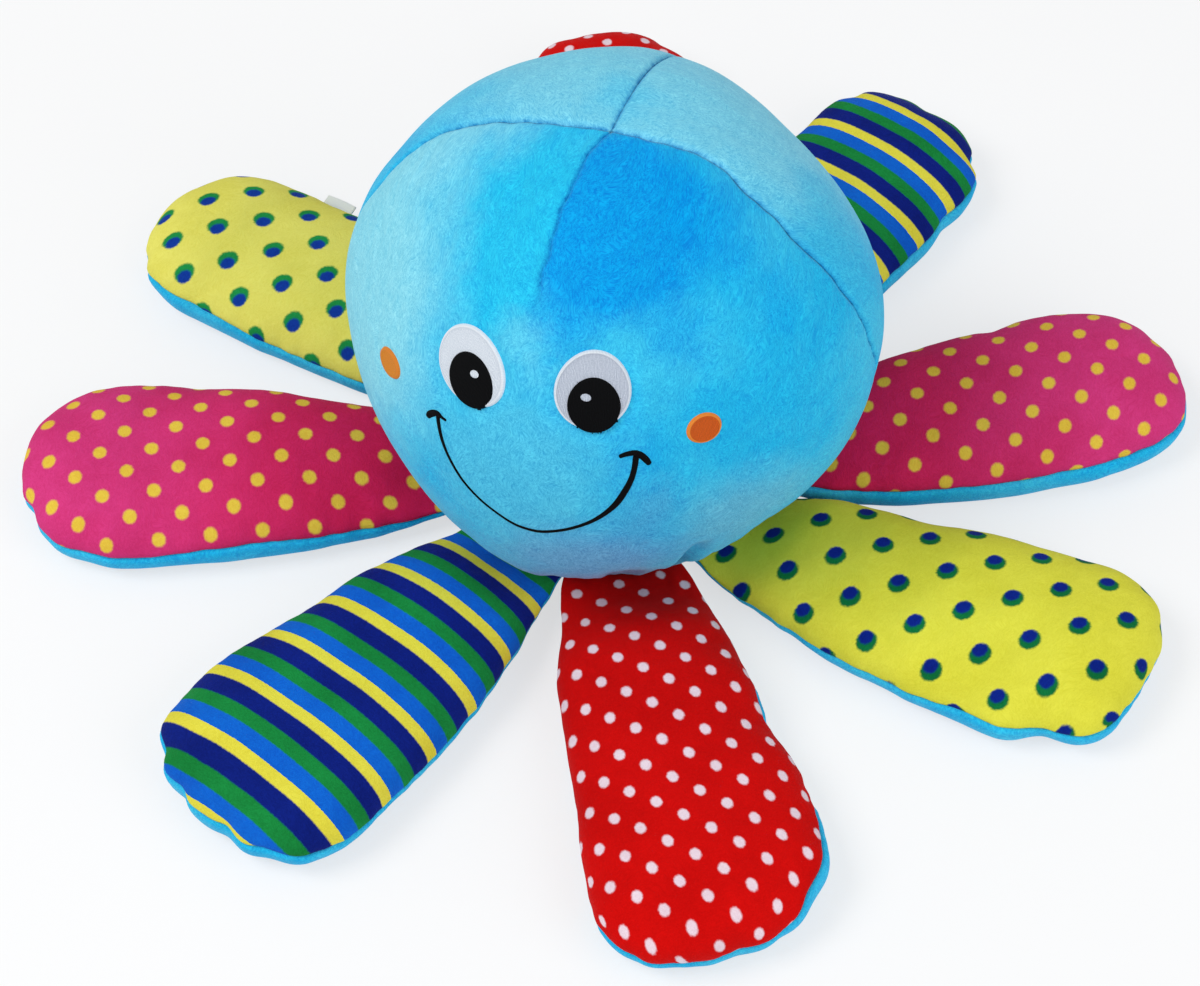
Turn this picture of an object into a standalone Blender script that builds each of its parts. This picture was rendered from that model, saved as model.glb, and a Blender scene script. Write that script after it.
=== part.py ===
"""Plush octopus at rest on a table: a round stuffed head with a stitched face, and eight flat stuffed arms.

Metres, +Z up, the face towards -Y. The origin is on the table under the middle of the head, on the flat
of the base. Each arm hangs under an empty on its flex line, where it is sewn to the head: local X runs out
along the arm, local Y across it, and a turn about -Y lifts the tip.
"""

import math

import bmesh
import bpy
from mathutils import Vector

# Fabric
plush_thickness = 0.0015
seam_gap = 0.0003
fibre_gap = 0.0008
overrun = 0.004
weld_distance = 0.0001

# Head: a ball over the ring that the arms are sewn round
head_radius = 0.085
ring_radius = 0.0452
ring_height = 0.0116
head_columns = 24
head_rows = 8
head_corner_share = 0.028
low_draw_share = 0.018
low_draw_angle = math.radians(40)
ring_fill_share = 0.044
ring_fill_start = math.radians(38)
ring_fill_angle = math.radians(20)
head_lean = 0.002
low_radius = head_radius * (1 - low_draw_share + ring_fill_share)
head_centre_height = ring_height + math.sqrt(low_radius ** 2 - ring_radius ** 2)

# Base
base_flat_radius = 0.028
base_profile_steps = 3
base_rim_drop = 0.0006
stuffing_base_clearance = 0.0008
# Where the fibre bends over the base, from its flat to the ring
stuffing_base_shares = (0.6, 0.0)

# Arms: where they are sewn on, and their sections
root_clearance = 0.0010
seam_drop = 0.0010
flex_radius = ring_radius + root_clearance
flex_height = ring_height - seam_drop
arm_root_half_width = 0.0150
arm_middle_half_width = 0.0360
arm_crown = 0.0160
arm_straight_share = 0.77
floor_cut = 0.0005
# Rows of the cage from root to tip: place along the arm, crown above the seam, drop towards the table
arm_row_shares = (
    (-0.034, 0.0, 0.0),
    (0.055, 0.26, 0.50),
    (0.440, 1.10, 1.08),
)
arm_inner_column_share = 0.84
root_inner_column_share = 0.45
# The rounded end: place along the arm, place across it, crown, drop, for the edge column and the inner column
arm_shoulder_shares = ((0.850, 1.06, 0.0, 0.0), (0.870, 0.62, 1.00, 1.08))
arm_tip_shares = ((0.982, 0.55, 0.0, 0.0), (1.072, 0.20, 0.0, 0.0))
arm_cage_swell_share = 1.14

# Each arm: name, fabric, sewn place round the head in degrees, length, widest half-width, heading in degrees,
# sideways bend at the tip, height of the seam at the tip
ARMS = (
    ("striped_front_arm", "striped_plush", -112.0, 0.1454, 0.0383, 3.6, -0.0082, 0.0138),
    ("red_front_arm", "red_plush", -62.0, 0.1506, 0.0380, 1.1, 0.0083, 0.0131),
    ("yellow_right_arm", "yellow_plush", -14.0, 0.1484, 0.0372, 4.2, 0.0098, 0.0125),
    ("pink_right_arm", "pink_plush", 27.5, 0.1526, 0.0326, -2.1, 0.0192, 0.0127),
    ("striped_back_arm", "striped_plush", 70.0, 0.1527, 0.0336, 7.8, -0.0114, 0.0122),
    ("red_back_arm", "red_plush", 111.5, 0.1550, 0.0330, -4.6, 0.0050, 0.0123),
    ("yellow_left_arm", "yellow_plush", 159.5, 0.1465, 0.0318, 0.4, 0.0166, 0.0124),
    ("pink_left_arm", "pink_plush", -158.0, 0.1509, 0.0364, -0.3, -0.0003, 0.0124),
)

# Label sewn into the side seam of one arm
label_arm = "yellow_left_arm"
label_length = 0.012
label_reach = 0.009
label_thickness = 0.0008
label_place = 0.1000

# Stitched face. Places are lengths over the head's surface from the middle of the face, across and up
thread_thickness = 0.0008
face_azimuth = math.radians(-89)
face_half_span = math.radians(75)
face_lowest = math.radians(-20)
face_highest = math.radians(75)
eye_spacing = 0.0391
eye_height = 0.0479
eye_white_width = 0.0245
eye_white_height = 0.0260
pupil_width = 0.0168
pupil_height = 0.0188
pupil_drop = 0.0042
pupil_inset = 0.0007
glint_width = 0.0043
glint_rise = 0.0027
glint_inset = 0.0017
cheek_spacing = 0.1120
cheek_height = 0.0286
cheek_width = 0.0130
cheek_length = 0.0104
ellipse_points = 20
smile_half_span = 0.0334
smile_low = -0.0047
smile_high = 0.0267
smile_steps = 14
# Place along the smile and half-width of the stitching there
smile_width_shares = (
    (0.0, 1.6), (0.04, 1.5), (0.08, 0.45), (0.5, 0.55), (0.8, 1.0), (0.94, 0.9), (0.96, 3.6), (1.0, 3.4),
)
smile_line = 0.0010

COLOURS = {
    "blue_plush": (0.05, 0.42, 0.80),
    "striped_plush": (0.02, 0.10, 0.45),
    "red_plush": (0.60, 0.01, 0.01),
    "yellow_plush": (0.72, 0.70, 0.09),
    "pink_plush": (0.62, 0.05, 0.16),
    "fibre_fill": (0.85, 0.85, 0.82),
    "white_thread": (0.62, 0.68, 0.75),
    "black_thread": (0.010, 0.010, 0.012),
    "orange_thread": (0.70, 0.22, 0.02),
    "label_tape": (0.75, 0.77, 0.76),
}


def clear_scene():
    for obj in list(bpy.data.objects):
        bpy.data.objects.remove(obj, do_unlink=True)


def new_collection(name):
    collection = bpy.data.collections.new(name)
    bpy.context.scene.collection.children.link(collection)
    return collection


def fabric(slot):
    material = bpy.data.materials.get(slot)
    if material is None:
        material = bpy.data.materials.new(slot)
        material.use_nodes = True
        shader = material.node_tree.nodes["Principled BSDF"]
        shader.inputs["Base Color"].default_value = (*COLOURS[slot], 1.0)
        shader.inputs["Roughness"].default_value = 0.9
        shader.inputs["Metallic"].default_value = 0.0
        material.diffuse_color = (*COLOURS[slot], 1.0)
    return material


def new_object(name, bm, collection, slot=None, parent=None):
    mesh = bpy.data.meshes.new(name)
    bm.to_mesh(mesh)
    bm.free()
    obj = bpy.data.objects.new(name, mesh)
    collection.objects.link(obj)
    if slot:
        mesh.materials.append(fabric(slot))
        mesh.shade_smooth()
    if parent:
        obj.parent = parent
    return obj


def new_cutter(name, bm, parent=None):
    cutter = new_object(name, bm, cutters, parent=parent)
    cutter.hide_render = True
    cutter.display_type = "WIRE"
    return cutter


def boolean(obj, operation, cutter):
    modifier = obj.modifiers.new(f"{operation.lower()} {cutter.name}", "BOOLEAN")
    modifier.operation = operation
    modifier.object = cutter


def subdivide(obj):
    modifier = obj.modifiers.new("soft form", "SUBSURF")
    modifier.levels = 1
    modifier.render_levels = 1


def thicken(obj, thickness, outward=False):
    modifier = obj.modifiers.new("fabric", "SOLIDIFY")
    modifier.thickness = thickness
    modifier.offset = 1.0 if outward else -1.0


def smooth_step(share):
    share = min(max(share, 0.0), 1.0)
    return share * share * (3 - 2 * share)


def head_point(azimuth, elevation, stand_off=0.0):
    """A point on the head: a ball that leans back a little, draws in below and spreads again at the ring.

    It has four soft corners, one at each seam.
    """
    drawn = smooth_step(-elevation / low_draw_angle)
    filled = smooth_step((-elevation - ring_fill_start) / ring_fill_angle)
    corner = head_corner_share * math.cos(4 * azimuth) * math.cos(elevation) * (1 - filled)
    radius = head_radius * (1 - low_draw_share * drawn + ring_fill_share * filled) * (1 + corner) + stand_off
    level = radius * math.cos(elevation)
    lean = head_lean * (1 - filled)
    height = head_centre_height + radius * math.sin(elevation)
    return Vector((level * math.cos(azimuth), level * math.sin(azimuth) + lean, height))


def ring_elevation():
    """Where the head's panels end, at the ring that the arms are sewn round."""
    return -math.acos(ring_radius / low_radius)


def head_surface(stand_off, keep):
    """The head's open surface, from the crown to the ring, with the faces that keep names."""
    bm = bmesh.new()
    bmesh.ops.create_uvsphere(bm, u_segments=head_columns, v_segments=2 * head_rows, radius=1.0)
    rows_kept = 2 * head_rows * (0.5 - ring_elevation() / math.pi)
    step = (math.pi / 2 - ring_elevation()) / round(rows_kept)
    angles = {}
    for vert in bm.verts:
        from_crown = math.acos(max(-1.0, min(1.0, vert.co.z)))
        row = round(from_crown * 2 * head_rows / math.pi)
        angles[vert] = (math.atan2(vert.co.y, vert.co.x), math.pi / 2 - row * step, row)
    beyond = [face for face in bm.faces if any(angles[vert][2] > round(rows_kept) for vert in face.verts)]
    bmesh.ops.delete(bm, geom=beyond, context="FACES")
    dropped = []
    for face in bm.faces:
        middle = face.calc_center_median()
        elevation = sum(angles[vert][1] for vert in face.verts) / len(face.verts)
        if not keep(math.atan2(middle.y, middle.x), elevation):
            dropped.append(face)
    bmesh.ops.delete(bm, geom=dropped, context="FACES")
    for vert in bm.verts:
        azimuth, elevation, _ = angles[vert]
        vert.co = head_point(azimuth, elevation, stand_off)
    return bm


def turned_from(azimuth, middle):
    """How far one azimuth is turned from another, from minus a half turn to a half turn."""
    return math.atan2(math.sin(azimuth - middle), math.cos(azimuth - middle))


def head_panel(name, middle, half_span):
    """One panel of the head's skin, set out by a seam gap from the planes of its seams."""
    bm = head_surface(0.0, lambda azimuth, elevation: abs(turned_from(azimuth, middle)) < half_span)
    set_out = seam_gap / math.sin(half_span)
    bmesh.ops.translate(bm, verts=bm.verts, vec=set_out * Vector((math.cos(middle), math.sin(middle), 0)))
    panel = new_object(name, bm, toy, "blue_plush")
    thicken(panel, plush_thickness)
    return panel


def base_height(radius):
    """The outer height of the base: flat on the table, then rising like a dish to the ring."""
    rise = ring_height - base_rim_drop
    share = max(0.0, radius - base_flat_radius) / (ring_radius - base_flat_radius)
    return rise * share * share


def base_panel():
    """The underside of the head, turned: a dish whose rim meets the skin at the ring."""
    radii = [base_flat_radius + (ring_radius - base_flat_radius) * step / base_profile_steps
             for step in range(base_profile_steps + 1)]
    inner = [(0.0, plush_thickness)] + [(radius - plush_thickness / 2, base_height(radius) + plush_thickness)
                                        for radius in radii[:-1]]
    inner.append((radii[-1] - plush_thickness, base_height(radii[-1])))
    outer = [(radius, base_height(radius)) for radius in reversed(radii)] + [(0.0, 0.0)]
    bm = bmesh.new()
    verts = [bm.verts.new((radius, 0.0, height)) for radius, height in inner + outer]
    for first, second in zip(verts, verts[1:]):
        bm.edges.new((first, second))
    panel = new_object("base_panel", bm, toy, "blue_plush")
    screw = panel.modifiers.new("turned", "SCREW")
    screw.steps = head_columns
    screw.render_steps = head_columns
    screw.use_merge_vertices = True
    screw.merge_threshold = weld_distance
    return panel


def head_stuffing():
    """The fibre that fills the head, a gap inside the skin and pressed down on the base."""
    bm = head_surface(-plush_thickness - seam_gap, lambda azimuth, elevation: True)
    loop = [edge for edge in bm.edges if edge.is_boundary]
    for share in stuffing_base_shares:
        radius = base_flat_radius + share * (ring_radius - base_flat_radius)
        height = base_height(radius) + plush_thickness + stuffing_base_clearance
        made = bmesh.ops.extrude_edge_only(bm, edges=loop)["geom"]
        for vert in (item for item in made if isinstance(item, bmesh.types.BMVert)):
            azimuth = math.atan2(vert.co.y, vert.co.x)
            vert.co = (radius * math.cos(azimuth), radius * math.sin(azimuth), height)
        loop = [item for item in made if isinstance(item, bmesh.types.BMEdge)]
    bmesh.ops.edgeloop_fill(bm, edges=loop)
    bmesh.ops.recalc_face_normals(bm, faces=bm.faces)
    return new_object("head_stuffing", bm, toy, "fibre_fill")


def arm_half_width(along, wide):
    """Half the arm's width, from the sewn root to the widest part."""
    share = min(max(along / arm_straight_share, 0.0), 1.0)
    middle = 2 * share * (1 - share) * arm_middle_half_width
    return arm_root_half_width * (1 - share) ** 2 + middle + wide * share ** 2


def arm_cage_places(wide, inset):
    """The cage's rows: for the edge and the inner column, place along, place across, crown and drop."""
    rows = []
    for along, crown, drop in arm_row_shares:
        half = arm_half_width(along, wide) - inset
        inner = root_inner_column_share if crown == 0.0 else arm_inner_column_share
        rows.append(((along, half, 0.0, 0.0), (along, half * inner, crown, drop)))
    for shares in (arm_shoulder_shares, arm_tip_shares):
        rows.append(tuple((along, width * (wide - inset), crown, drop)
                          for along, width, crown, drop in shares))
    return rows


def arm_seam_height(along, tip_height):
    """The seam's height over the flex line at a share of the arm's length."""
    return (tip_height - flex_height) * along


def arm_form(length, wide, heading, bend, tip_height, inset=0.0):
    """A closed pillow cage in the arm's own frame: an upper and a lower grid that share their edge.

    An inset draws the whole form in, for the space inside the panels and for the fibre.
    """
    rows = arm_cage_places(wide, inset)
    lowest = -flex_height - floor_cut
    bm = bmesh.new()
    for side in (1, -1):
        made = bmesh.ops.create_grid(bm, x_segments=len(rows) - 1, y_segments=3, size=1.0)
        for vert in made["verts"]:
            row = round((vert.co.x + 1) / 2 * (len(rows) - 1))
            column = round((vert.co.y + 1) / 2 * 3)
            along, across, crown, drop = rows[row][0 if column in (0, 3) else 1]
            across *= arm_cage_swell_share * (-1 if column < 2 else 1)
            height = arm_seam_height(along, tip_height)
            if side > 0 and crown:
                height += crown * arm_crown - inset
            if side < 0 and drop:
                height += drop * (lowest - height) + inset
            sideways = along * length * math.tan(math.radians(heading)) + bend * along * along
            vert.co = Vector((inset + along * (length - 2 * inset), across + sideways, height))
        if side < 0:
            lower = set(made["verts"])
            lower_faces = [face for face in bm.faces if face.verts[0] in lower]
            bmesh.ops.reverse_faces(bm, faces=lower_faces)
            for face in lower_faces:
                face.material_index = 1
    bmesh.ops.remove_doubles(bm, verts=bm.verts, dist=seam_gap / 2)
    return bm


def box(low, high):
    bm = bmesh.new()
    bmesh.ops.create_cube(bm, size=1.0)
    size = Vector(high) - Vector(low)
    bmesh.ops.scale(bm, vec=size, verts=bm.verts)
    bmesh.ops.translate(bm, vec=Vector(low) + size / 2, verts=bm.verts)
    return bm


def softened(cage):
    """The soft form that one step of Subdivision Surface makes of a cage."""
    form = new_object("form", cage, cutters)
    subdivide(form)
    bpy.context.view_layer.update()
    soft = bmesh.new()
    soft.from_object(form, bpy.context.evaluated_depsgraph_get())
    bpy.data.objects.remove(form)
    return soft


def keep_side(bm, upper):
    """Leaves the upper or the lower half of an arm's soft form, open along its seam."""
    other = [face for face in bm.faces if (face.material_index == 0) != upper]
    bmesh.ops.delete(bm, geom=other, context="FACES")
    for face in bm.faces:
        face.material_index = 0


def arm_panel(name, slot, form, upper, root):
    """One panel of an arm's skin: its outer face, its inner face and the edge that is sewn."""
    inner = softened(arm_form(*form, inset=plush_thickness))
    keep_side(inner, upper)
    bmesh.ops.reverse_faces(inner, faces=inner.faces)
    inner_mesh = bpy.data.meshes.new("inner face")
    inner.to_mesh(inner_mesh)
    inner.free()
    panel = softened(arm_form(*form))
    keep_side(panel, upper)
    panel.from_mesh(inner_mesh)
    bpy.data.meshes.remove(inner_mesh)
    bmesh.ops.bridge_loops(panel, edges=[edge for edge in panel.edges if edge.is_boundary])
    bmesh.ops.recalc_face_normals(panel, faces=panel.faces)
    lift = seam_gap / 2 if upper else -seam_gap / 2
    bmesh.ops.translate(panel, verts=panel.verts, vec=(0, 0, lift))
    return new_object(name, panel, toy, slot, root)


def arm(name, slot, azimuth, *form):
    """One arm: a printed panel on top, a blue one under it, and fibre inside."""
    turn = math.radians(azimuth)
    root = bpy.data.objects.new(f"{name}_root", None)
    toy.objects.link(root)
    root.location = (flex_radius * math.cos(turn), flex_radius * math.sin(turn), flex_height)
    root.rotation_euler = (0, 0, turn)
    arm_panel(f"{name}_top", slot, form, True, root)
    boolean(arm_panel(f"{name}_underside", "blue_plush", form, False, root), "DIFFERENCE", table)
    stuffing = arm_form(*form, inset=plush_thickness + fibre_gap)
    for face in stuffing.faces:
        face.material_index = 0
    subdivide(new_object(f"{name}_stuffing", stuffing, toy, "fibre_fill", root))
    return root


def side_label(root, length, wide, heading, bend, tip_height):
    """A small blank label sewn into the arm's side seam, sticking out level with it."""
    along = label_place / length
    middle = label_place * math.tan(math.radians(heading)) + bend * along * along
    edge = middle - arm_half_width(along, wide)
    height = arm_seam_height(along, tip_height)
    bm = box(
        (label_place - label_length / 2, edge - label_reach, height - label_thickness / 2),
        (label_place + label_length / 2, edge + overrun, height + label_thickness / 2),
    )
    label = new_object("side_label", bm, toy, "label_tape", root)
    seat = new_cutter("label_seat", arm_form(length, wide, heading, bend, tip_height, inset=-seam_gap), root)
    subdivide(seat)
    boolean(label, "DIFFERENCE", seat)
    return label


def face_angles(across, up):
    """Azimuth and elevation of a place on the face given as lengths over the surface."""
    elevation = up / head_radius
    return face_azimuth + across / (head_radius * math.cos(elevation)), elevation


def radial_prism(bm):
    """Makes a flat outline in face lengths into a prism that runs through the head's skin along its radii."""
    for vert in bm.verts:
        azimuth, elevation = face_angles(vert.co.x, vert.co.y)
        vert.co = head_point(azimuth, elevation, -overrun)
    made = bmesh.ops.extrude_face_region(bm, geom=bm.faces[:])
    outer = [item for item in made["geom"] if isinstance(item, bmesh.types.BMVert)]
    centre = Vector((0, 0, head_centre_height))
    for vert in outer:
        vert.co += (vert.co - centre).normalized() * 2 * overrun
    bmesh.ops.recalc_face_normals(bm, faces=bm.faces)
    return bm


def ellipse(across, up, width, height):
    bm = bmesh.new()
    bmesh.ops.create_circle(bm, cap_ends=True, segments=ellipse_points, radius=1.0)
    bmesh.ops.scale(bm, vec=(width / 2, height / 2, 1), verts=bm.verts)
    bmesh.ops.translate(bm, vec=(across, up, 0), verts=bm.verts)
    return bm


def smile_half_width(share):
    """Half the width of the smile's stitching, read between the table's places."""
    for (before, low), (after, high) in zip(smile_width_shares, smile_width_shares[1:]):
        if share <= after:
            return smile_line * (low + (high - low) * (share - before) / (after - before))
    return smile_line * smile_width_shares[-1][1]


def smile():
    """The smile's outline: a strip along half an ellipse, thin on one side and full on the other."""
    even_places = {step / smile_steps for step in range(smile_steps + 1)}
    places = sorted(even_places | {place for place, _ in smile_width_shares})
    bm = bmesh.new()
    made = bmesh.ops.create_grid(bm, x_segments=len(places) - 1, y_segments=1, size=1.0)
    for vert in made["verts"]:
        share = places[round((vert.co.x + 1) / 2 * (len(places) - 1))]
        angle = math.pi * (1 + share)
        radial = Vector((math.cos(angle), math.sin(angle)))
        middle = Vector((smile_half_span * radial.x, smile_high + (smile_high - smile_low) * radial.y))
        offset = radial * smile_half_width(share) * vert.co.y
        vert.co = (middle.x + offset.x, middle.y + offset.y, 0)
    return bm


def stitched(name, slot, outline):
    """A stitched patch: a layer of thread on the head's skin, kept only inside the outline."""
    def on_face(azimuth, elevation):
        across = abs(turned_from(azimuth, face_azimuth))
        return across < face_half_span and face_lowest < elevation < face_highest

    patch = new_object(name, head_surface(seam_gap, on_face), toy, slot)
    patch.location = (0, -seam_gap, 0)
    thicken(patch, thread_thickness, outward=True)
    boolean(patch, "INTERSECT", new_cutter(f"{name}_outline", radial_prism(outline)))
    return patch


def face():
    """Eyes, cheeks and smile. A patch that lies in another is set into a hole cut for it."""
    for side, name in ((-1, "left"), (1, "right")):
        across = side * eye_spacing / 2
        pupil_across = across - side * pupil_inset
        pupil_up = eye_height - pupil_drop
        glint_across = pupil_across - side * glint_inset
        glint_up = pupil_up + glint_rise
        room = 2 * seam_gap
        pupil_hole = ellipse(pupil_across, pupil_up, pupil_width + room, pupil_height + room)
        glint_hole = ellipse(glint_across, glint_up, glint_width + room, glint_width + room)
        white = stitched(f"{name}_eye_white", "white_thread",
                         ellipse(across, eye_height, eye_white_width, eye_white_height))
        boolean(white, "DIFFERENCE", new_cutter(f"{name}_pupil_hole", radial_prism(pupil_hole)))
        pupil = stitched(f"{name}_pupil", "black_thread",
                         ellipse(pupil_across, pupil_up, pupil_width, pupil_height))
        boolean(pupil, "DIFFERENCE", new_cutter(f"{name}_glint_hole", radial_prism(glint_hole)))
        stitched(f"{name}_glint", "white_thread", ellipse(glint_across, glint_up, glint_width, glint_width))
        stitched(f"{name}_cheek", "orange_thread",
                 ellipse(side * cheek_spacing / 2, cheek_height, cheek_width, cheek_length))
    stitched("mouth", "black_thread", smile())


clear_scene()
toy = new_collection("plush octopus")
cutters = new_collection("cutters")
table_half_size = 2 * max(length for _, _, _, length, *_ in ARMS)
table_corner = Vector((table_half_size, table_half_size, 0))
table = new_cutter("table", box(-table_corner - Vector((0, 0, flex_height)), table_corner))
head_panel("face_panel", math.radians(-90), math.pi / 2)
head_panel("back_left_panel", math.radians(135), math.pi / 4)
head_panel("back_right_panel", math.radians(45), math.pi / 4)
base_panel()
head_stuffing()
face()
for arm_name, arm_slot, *arm_shape in ARMS:
    arm_root = arm(arm_name, arm_slot, *arm_shape)
    if arm_name == label_arm:
        side_label(arm_root, *arm_shape[1:])
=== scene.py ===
"""Plush octopus on a pale floor: a stuffed blue head with a stitched face, and eight flat printed arms.

Metres, +Z up, the face towards -Y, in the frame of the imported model. Each arm is made in its own frame,
X out along the arm from its flex line and Y across it, and then set in place.
"""

from math import acos, asin, atan2, copysign, cos, degrees, dist, exp, hypot, pi, radians, sin, sqrt, tan

import bmesh
import bpy
from mathutils import Matrix, Vector
from mathutils.noise import noise

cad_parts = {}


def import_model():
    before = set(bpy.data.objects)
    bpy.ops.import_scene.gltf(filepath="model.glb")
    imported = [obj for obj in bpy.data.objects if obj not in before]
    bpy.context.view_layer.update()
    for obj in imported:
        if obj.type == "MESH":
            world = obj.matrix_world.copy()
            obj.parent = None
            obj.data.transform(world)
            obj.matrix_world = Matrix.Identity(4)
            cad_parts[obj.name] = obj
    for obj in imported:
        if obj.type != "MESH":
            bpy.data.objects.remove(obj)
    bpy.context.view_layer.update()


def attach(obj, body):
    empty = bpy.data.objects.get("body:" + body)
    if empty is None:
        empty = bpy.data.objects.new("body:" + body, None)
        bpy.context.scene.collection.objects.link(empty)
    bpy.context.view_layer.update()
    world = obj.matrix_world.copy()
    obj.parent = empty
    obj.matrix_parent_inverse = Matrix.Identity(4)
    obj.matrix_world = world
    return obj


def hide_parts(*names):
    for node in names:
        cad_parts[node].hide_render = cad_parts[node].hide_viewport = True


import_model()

mm = 0.001

# Fabric and filling
plush_thickness = 1.2 * mm
patch_thickness = 0.35 * mm
stroke_thickness = 0.3 * mm
base_ring_gap = 0.3 * mm
weld_distance = 0.01 * mm

# Head
head_radius = 85 * mm
ring_radius = 45.2 * mm
ring_height = 11.6 * mm
head_corner_share = 0.028
low_draw_share = 0.018
low_draw_angle = radians(40)
ring_fill_share = 0.044
ring_fill_start = radians(38)
ring_fill_angle = radians(20)
head_lean = 2 * mm
low_radius = head_radius * (1 - low_draw_share + ring_fill_share)
head_centre_height = ring_height + sqrt(low_radius ** 2 - ring_radius ** 2)
head_spacing = 1.5 * mm
seam_spacing = 0.45 * mm
seam_band = 4 * mm
seam_depth = 1.2 * mm
seam_half_width = 2.2 * mm
seam_slit = 0.03 * mm
seam_waver = 0.9 * mm
parting_reach = 0.8 * mm
quarter_turn = radians(90)
side_seams = (0.0, quarter_turn, 2 * quarter_turn)
dart_seam = radians(-93)
dart_end = radians(45)
dart_fade = radians(7)
groove_width = 8 * mm
groove_depth = 0.45 * mm
notch_azimuth = radians(-50)
notch_half_width = radians(2.2)
notch_depth = 4.2 * mm
gather_depth = 2.8 * mm
eye_dip = 0.9 * mm
head_fibre_inset = 5.7 * mm

# How far each seam strays from its straight line, in degrees at a few elevations, and how far that reaches
seam_sway_reach = radians(50)
SWAYS = (
    (0.0, ((-60, 0), (-30, 3), (-4, 5), (16, 1), (31, -1), (45, -3), (58, -1), (70, 7), (90, 6))),
    (180.0, ((-60, 0), (-20, 3), (30, 6), (38, 4), (50, 2), (66, 3), (90, 8))),
    (-93.0, ((-60, 0), (44, 0), (56, -2), (67, -5), (75, -8), (90, -24))),
)

# Where the filling stands out or gives way: azimuth, elevation, reach in degrees, height in millimetres
HEAD_LUMPS = (
    (70, 37, 24, -2.4),
    (25, 12, 20, 1.6),
    (140, 44, 20, 1.7),
    (172, 28, 14, -1.4),
    (-160, -12, 16, -1.3),
    (-88, -30, 13, 1.8),
    (-46, -32, 13, 2.4),
    (-66, -36, 9, -0.8),
)

# Base
base_flat_radius = 28 * mm
base_rim_drop = 0.6 * mm
base_columns = 96
base_rows = 28

# Arms
flex_radius = 46.2 * mm
flex_height = 10.6 * mm
arm_middle_half_width = 36.0 * mm
arm_straight_share = 0.77
arm_spacing = 1.5 * mm
arm_rows = 30
floor_rows_share = 0.45
crown_roundness = 0.94
corner_roundness = 0.95
root_curve_reach = 16 * mm
root_curve_share = 0.6
spine_turn_share = 0.62
least_height = 0.15 * mm

# Each arm: name, sewn place round the head in degrees, length, widest half-width, heading in degrees,
# sideways bend at the tip, crown, slant of the tip and squareness of the tip. Then in millimetres:
# half-width at the root on the clockwise and on the other side, height of the widest place at the tip,
# marks of how far above that place the seam lies, and the dents in the outline, each with its place, its
# reach and its depth. Places are measured along the outline from the tip, below zero on the clockwise side
ARMS = (
    ("striped_front", -112.0, 0.1454, 0.0383, 3.6, -0.0082, 0.0175, 0.02, 2.5, (16.0, 19.5), 13.8,
     ((-60, 0.5), (-38, 2.2), (-20, 0.8), (0, 0.4), (25, 0.2), (45, -1.0), (70, -2.0)),
     ((-30, 5, 2.0), (-14, 4, 1.4), (8, 6, 2.0), (26, 6, 1.2), (70, 9, 1.0))),
    ("red_front", -62.0, 0.1506, 0.0380, 1.1, 0.0083, 0.0153, -0.25, 2.3, (21.5, 18.5), 13.1,
     ((-66, -7.0), (-45, -0.5), (-25, -3.0), (0, -3.0), (14, -2.0), (30, 4.6), (45, 5.4), (60, 4.2),
      (78, 0.0), (96, 0.0), (112, 4.4), (128, 2.0), (146, -1.0)),
     ((-8, 19, 4.2), (17, 4, 1.6), (34, 6, 1.0), (104, 8, 3.0), (-92, 30, 1.6))),
    ("yellow_right", -14.0, 0.1484, 0.0372, 4.2, 0.0098, 0.0152, -0.11, 2.7, (18.0, 15.5), 12.5,
     ((-135, -2.5), (-112, -0.8), (-93, -0.4), (-82, 0.2), (-68, 2.0), (-55, 1.4), (-42, -1.4), (-33, -0.2),
      (-16, 1.2), (-6, -0.5), (8, -2.0)),
     ((-44, 9, 6.0), (-12, 6, 1.0), (20, 7, 0.8), (-96, 9, 0.6))),
    ("pink_right", 27.5, 0.1526, 0.0326, -2.1, 0.0192, 0.0154, -0.26, 2.3, (15.5, 15.5), 12.7,
     ((-150, 2.2), (-60, 2.8), (-25, 2.2), (0, 0.4), (20, 0.0)),
     ((10, 5, 1.2), (44, 12, 1.2), (74, 6, 1.0), (-40, 8, 0.8))),
    ("striped_back", 70.0, 0.1527, 0.0336, 7.8, -0.0114, 0.0149, 0.02, 2.6, (15.5, 15.5), 12.2,
     ((-120, 1.6), (-50, 2.3), (-25, 1.0), (0, -1.0), (30, 0.0)),
     ((-28, 5, 2.4), (34, 4, 1.8), (4, 6, 1.2), (-58, 7, 1.2), (132, 28, 3.5))),
    ("red_back", 111.5, 0.1550, 0.0330, -4.6, 0.0050, 0.0149, 0.04, 2.4, (15.5, 15.5), 12.3,
     ((-60, 0.2), (-30, 1.6), (0, 0.5), (40, 1.2), (90, 0.2)),
     ((-22, 6, 1.4), (18, 5, 1.2), (60, 8, 1.2), (-132, 28, 4.0))),
    ("yellow_left", 159.5, 0.1465, 0.0318, 0.4, 0.0166, 0.0146, -0.14, 2.3, (15.5, 15.5), 12.5,
     ((0, 0.0), (22, -0.4), (39, 1.6), (51, 3.0), (63, 2.2), (77, 1.2), (99, 0.6), (140, 0.0)),
     ((22, 6, 1.2), (-20, 6, 1.0), (-34, 8, 1.0))),
    ("pink_left", -158.0, 0.1509, 0.0364, -0.3, -0.0003, 0.0150, 0.03, 2.1, (15.5, 15.5), 12.4,
     ((-60, 0.0), (0, -1.2), (20, -1.0), (35, -0.4), (48, 0.4), (66, 0.4), (86, 2.1), (101, 2.6), (127, 1.0),
      (159, -0.8)),
     ((16, 6, 1.4), (44, 7, 0.8))),
)


def smooth_step(share):
    share = min(max(share, 0.0), 1.0)
    return share * share * (3 - 2 * share)


def between(low, high, share):
    return low + (high - low) * share


def bell(away):
    return exp(-away ** 2)


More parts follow.
